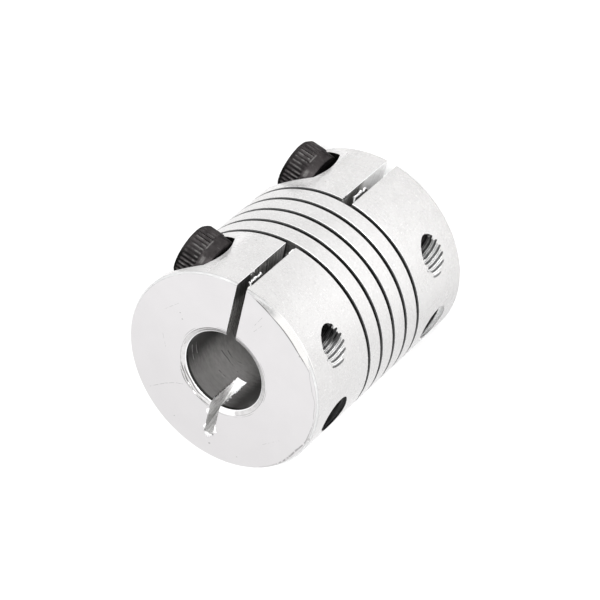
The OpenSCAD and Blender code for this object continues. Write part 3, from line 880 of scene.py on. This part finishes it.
    # notch: ragged end at the face, torn edges on the face and down the bore
    for deg, s in ((96, 1), (94, -1)):
        w = math.radians(deg)
        u, v, zz = np.array((math.cos(w), math.sin(w), 0)), np.array((math.sin(w), -math.cos(w), 0)), np.array((0, 0, 1.0 * s))
        zf = L if s > 0 else 0.0
        face_at = np.array((0, 0, zf if s > 0 else 0.1))
        torn = [(-0.05, -0.08), (-0.05, 0.0), (0.03, 0.035), (0.13, 0.03), (0.17, -0.01), (0.08, -0.06)]
        tall = [(-0.06, -0.1), (-0.06, 0.0), (0.05, 0.04), (0.2, 0.05), (0.3, 0.01), (0.14, -0.06)]
        end = [(-u * 7.49 + v * (-0.46 + 0.92 * k / 14) + face_at, -u, zz) for k in range(15)]
        burrs.append(("UNION", strip("burr", end, tall, 61 + s, BURR, ends=0.2, wobble=0.6)))
        for side, a, b, seed in ((1, 7.3, 6.2, 12), (-1, 7.2, 6.6, 13), (-1, 5.4, 4.75, 14)):
            run = [(-u * (a + (b - a) * k / 15) + v * side * 0.49 + face_at, side * v, zz) for k in range(16)]
            burrs.append(("UNION", strip("burr", run, torn, seed + 40 - 20 * s, BURR, ends=0.2, wobble=0.5)))
        # down the bore, leaning out of the notch on to the wall
        for side, d0, d1, seed in ((1, 0.5, 4.0, 15), (-1, 0.4, 4.2, 16)):
            run = []
            for k in range(34):
                dep = d0 + (d1 - d0) * k / 33
                q = -u * math.sqrt(BORE ** 2 - 0.25) + v * side * 0.5 + np.array((0, 0, zf - s * dep))
                out = np.array((-q[0], -q[1], 0)) / math.hypot(q[0], q[1])
                run.append((q, side * v, out))
            burrs.append(("UNION", strip("burr", run, [(-0.03, -0.1), (-0.03, 0.0), (0.02, 0.05), (0.08, 0.045), (0.1, -0.0), (0.05, -0.06)],
                                         seed + 40 - 20 * s, PLUNGE, ends=0.1, wobble=0.7)))
    # the bruise beside the bore, on the upper face
    run = []
    for k in range(40):
        a = math.radians(209 + 49 * k / 39)
        rr = 4.5 + 0.04 * math.sin(k * 0.5)
        run.append((np.array((rr * math.cos(a), rr * math.sin(a), L)), np.array((math.cos(a), math.sin(a), 0)), np.array((0, 0, 1.0))))
    burrs.append(("UNION", strip("burr", run, [(-0.06, -0.05), (-0.06, 0.0), (-0.02, 0.03), (0.05, 0.035), (0.09, 0.0), (0.05, -0.04)],
                                 41, DENT, ends=0.08, wobble=0.5)))
    body = combine(body, burrs)

    knocks = []
    for x, y, z, r, seed in (
        (7.42, 6.52, 24.98, (0.14, 0.12, 0.08), 22), 
        (9.8, -0.95, 24.95, (0.1, 0.2, 0.09), 24), (-3.86, 9.24, 6.6, (0.14, 0.1, 0.12), 25), (-4.4, 8.98, 6.52, (0.09, 0.06, 0.07), 26),
        (-3.85, 9.24, 18.2, (0.09, 0.06, 0.08), 27), (-2.6, 9.67, 20.1, (0.09, 0.05, 0.08), 28), (-4.67, 8.85, 18.8, (0.07, 0.05, 0.07), 29),
        (-9.1, 3.95, 24.95, (0.1, 0.14, 0.08), 30), (-6.8, -7.15, 24.95, (0.1, 0.1, 0.07), 31), (3.0, -9.5, 0.05, (0.14, 0.1, 0.08), 32),
        (8.6, -5.0, 14.0, (0.1, 0.08, 0.09), 33), (-9.98, -1.0, 11.6, (0.06, 0.1, 0.09), 34), (0.4, -9.98, 20.4, (0.1, 0.05, 0.09), 35),
        (-4.3, 0.3, 24.93, (0.08, 0.2, 0.05), 36), (-3.6, 3.1, 24.93, (0.1, 0.08, 0.04), 37),
    ):
        knocks.append(("DIFFERENCE", pebble("knock", (x, y, z), r, seed)))
    return combine(body, knocks)


# ---------------------------------------------------------------- the screws
def build_screw(which, z, start):
    teeth = 40
    line = [(0, -3.0), (1.45, -3.0), (2.36, -3.0), (2.43, -2.985), (2.47, -2.95), (2.6, -2.78), (2.68, -2.68), (2.75, -2.55)]
    line += [(2.75, -2.55 + 1.35 * k / 10) for k in range(1, 11)]
    line += [(2.7, -1.14), (2.66, -1.08), (2.64, -1.0), (2.63, -0.5), (2.61, -0.12), (2.57, -0.03), (2.5, 0.0), (0, 0.0)]

    def knurl(r, x, w):
        if x < -2.86 or x > -1.02 or r < 2.5:
            return r
        fade = max(0.0, min(1.0, (x + 2.86) / 0.25, (-1.06 - x) / 0.12))
        ph = (w * teeth / TAU) % 1.0
        return r - 0.125 * fade * abs(2 * ph - 1)

    head = turned("head", line, [1] * (len(line) - 1), teeth * 8, knurl)
    # full thread up to the head, with a chamfered tip; its crests run in the roots of the tapped hole
    turn = 0.35 if which == "upper" else 1.1
    z0 = -1.15 + start + 0.5 * turn / TAU
    prof = [(-0.02, 1.47), (0.02, 1.47), (0.115, 1.2), (0.385, 1.2)]
    shank = helix("shank", prof, 0.5, z0, 23, 2, 64)
    tip = turned("tip", [(0, -0.5), (1.7, -0.5), (1.7, 9.55), (1.1, 10.0), (0, 10.0)], [2] * 4, 96)
    shank = combine(shank, [("INTERSECT", tip)])
    far = 1.25 / math.cos(math.pi / 6)
    hexagon = [(far * math.cos(TAU * k / 6 + math.pi / 6), far * math.sin(TAU * k / 6 + math.pi / 6)) for k in range(6)]
    socket = prism("socket", hexagon, 1.6 + 0.1, axes((1, 0, 0), (0, 1, 0), (0, 0, 1), (0, 0, -3.1)), 3)
    flare = turned("flare", [(0, -3.1), (1.58, -3.1), (1.2, -2.72), (0, -2.72)], [3] * 3, 96)
    drill = turned("drill", [(0, -1.5), (1.2, -1.5), (1.2, -1.4), (0.02, -0.95), (0, -0.95)], [3] * 4, 64)
    head = combine(head, [("UNION", shank), ("DIFFERENCE", socket), ("DIFFERENCE", flare), ("DIFFERENCE", drill)])
    spin = np.eye(4)
    spin[:2, :2] = [[math.cos(turn), -math.sin(turn)], [math.sin(turn), math.cos(turn)]]
    return head, along_x(z, x0=-5.35) @ spin


body = build_body()
outer, face, edge, bore = alu_outer(), alu_face(), alu_edge(), alu_bore()
sawn, groove, drilled, burr = alu_sawn(), alu_groove(), alu_drilled(), alu_burr()
bore_edge, broken = alu_bore_edge(), alu_break()
thread3 = alu_thread("aluminium_tapped_m3", SCREW_Z, True, 1.3, 1.5)
thread4 = alu_thread("aluminium_tapped_m4", SCREW_Z, False, 1.7, 2.0)
mats = [outer, edge, face, bore, groove, sawn, drilled, thread3, thread4, burr, bore_edge, broken]
by_tag = {OUTER: 0, EDGE: 1, FACE: 2, BORECH: 10, BOREWALL: 3, RELIEFWALL: 3, GROOVE: 4, SAWN: 5, DRILLED: 6,
          THREAD3: 7, THREAD4: 8, BREAK: 11, BURR: 9, DENT: 0, PLUNGE: 11}
finish_piece(body, mats, by_tag, "coupling_body")

for which, z, start in (("upper", SCREW_Z[0], THREAD_AT[0]), ("lower", SCREW_Z[1], THREAD_AT[1])):
    screw, place = build_screw(which, z, start)
    put(screw, place)
    finish_piece(screw, [black_oxide(z)], {}, which + "_clamp_screw", 24, flat=())


# ---------------------------------------------------------------- floor, light, world
floor_me = bpy.data.meshes.new("floor")
k = 96
floor_me.from_pydata([(2.0 * math.cos(TAU * i / k), 2.0 * math.sin(TAU * i / k), 0) for i in range(k)], [], [tuple(range(k))])
floor = link(bpy.data.objects.new("floor", floor_me))
ft = Tree("floor_white")
ft.nt.nodes.remove(ft.bsdf)
# white paper that glows: evenly, fading out far from the object, with a painted pool of light at (14, 19) mm and a
# smaller one at (-9, 8) mm that lifts the object's shadow
dif, emi, both = ft.node("ShaderNodeBsdfDiffuse"), ft.node("ShaderNodeEmission"), ft.node("ShaderNodeAddShader")
dif.inputs["Color"].default_value = (0.8, 0.8, 0.8, 1)
emi.inputs["Color"].default_value = (1, 1, 1, 1)
sx, sy = ft.sub(ft.x, 14.0), ft.sub(ft.y, 19.0)
spot = ft.math("SQRT", ft.add(ft.mul(sx, sx), ft.mul(sy, sy)))
bx, by = ft.add(ft.x, 9.0), ft.sub(ft.y, 8.0)
back = ft.math("SQRT", ft.add(ft.mul(bx, bx), ft.mul(by, by)))
glow = ft.add(ft.span(ft.radius(), 70.0, 260.0, 0.13, 0.0), ft.span(spot, 4.0, 24.0, 0.3, 0.0))
ft.plug(emi.inputs["Strength"], ft.add(glow, ft.span(back, 3.0, 12.0, 0.14, 0.0)))
ft.nt.links.new(dif.outputs[0], both.inputs[0])
ft.nt.links.new(emi.outputs[0], both.inputs[1])
ft.nt.links.new(both.outputs[0], ft.out.inputs["Surface"])
floor_me.materials.append(ft.mat)

world = bpy.data.worlds.new("studio")
bpy.context.scene.world = world
world.use_nodes = True
wt = world.node_tree
wt.nodes.clear()
wout, wbg = wt.nodes.new("ShaderNodeOutputWorld"), wt.nodes.new("ShaderNodeBackground")
wt.links.new(wbg.outputs[0], wout.inputs[0])
wtc = wt.nodes.new("ShaderNodeTexCoord")


def wmath(op, a, b=0.0):
    n = wt.nodes.new("ShaderNodeMath"); n.operation = op
    for s, v in zip(n.inputs, (a, b)):
        if isinstance(v, bpy.types.NodeSocket):
            wt.links.new(v, s)
        else:
            s.default_value = v
    return n.outputs[0]


def wspan(v, a, b, lo, hi):
    n = wt.nodes.new("ShaderNodeMapRange"); n.interpolation_type = "SMOOTHSTEP"
    wt.links.new(v, n.inputs["Value"])
    for key, w in (("From Min", a), ("From Max", b), ("To Min", lo), ("To Max", hi)):
        n.inputs[key].default_value = w
    return n.outputs[0]


def panel(azimuth, elevation, inner, outer_, strength):
    """A round soft panel of light seen in this direction. Azimuth 0 is +X."""
    a, e = math.radians(azimuth), math.radians(elevation)
    n = wt.nodes.new("ShaderNodeVectorMath"); n.operation = "DOT_PRODUCT"
    wt.links.new(wtc.outputs["Generated"], n.inputs[0])
    n.inputs[1].default_value = (math.cos(a) * math.cos(e), math.sin(a) * math.cos(e), math.sin(e))
    return wspan(n.outputs["Value"], math.cos(math.radians(outer_)), math.cos(math.radians(inner)), 0.0, strength)


wsep = wt.nodes.new("ShaderNodeSeparateXYZ")
wt.links.new(wtc.outputs["Generated"], wsep.inputs[0])
sky = wspan(wsep.outputs["Z"], 0.0, 0.72, 0.8, 1.2)
for p in (panel(70, 46, 6, 22, 5.0), panel(112, 52, 10, 32, 0.8)):
    sky = wmath("ADD", sky, p)
wt.links.new(sky, wbg.inputs["Strength"])
wbg.inputs["Color"].default_value = (1, 1, 1, 1)


bpy.context.scene.view_settings.view_transform = "Standard"
bpy.context.scene.view_settings.look = "None"

bpy.context.view_layer.update()
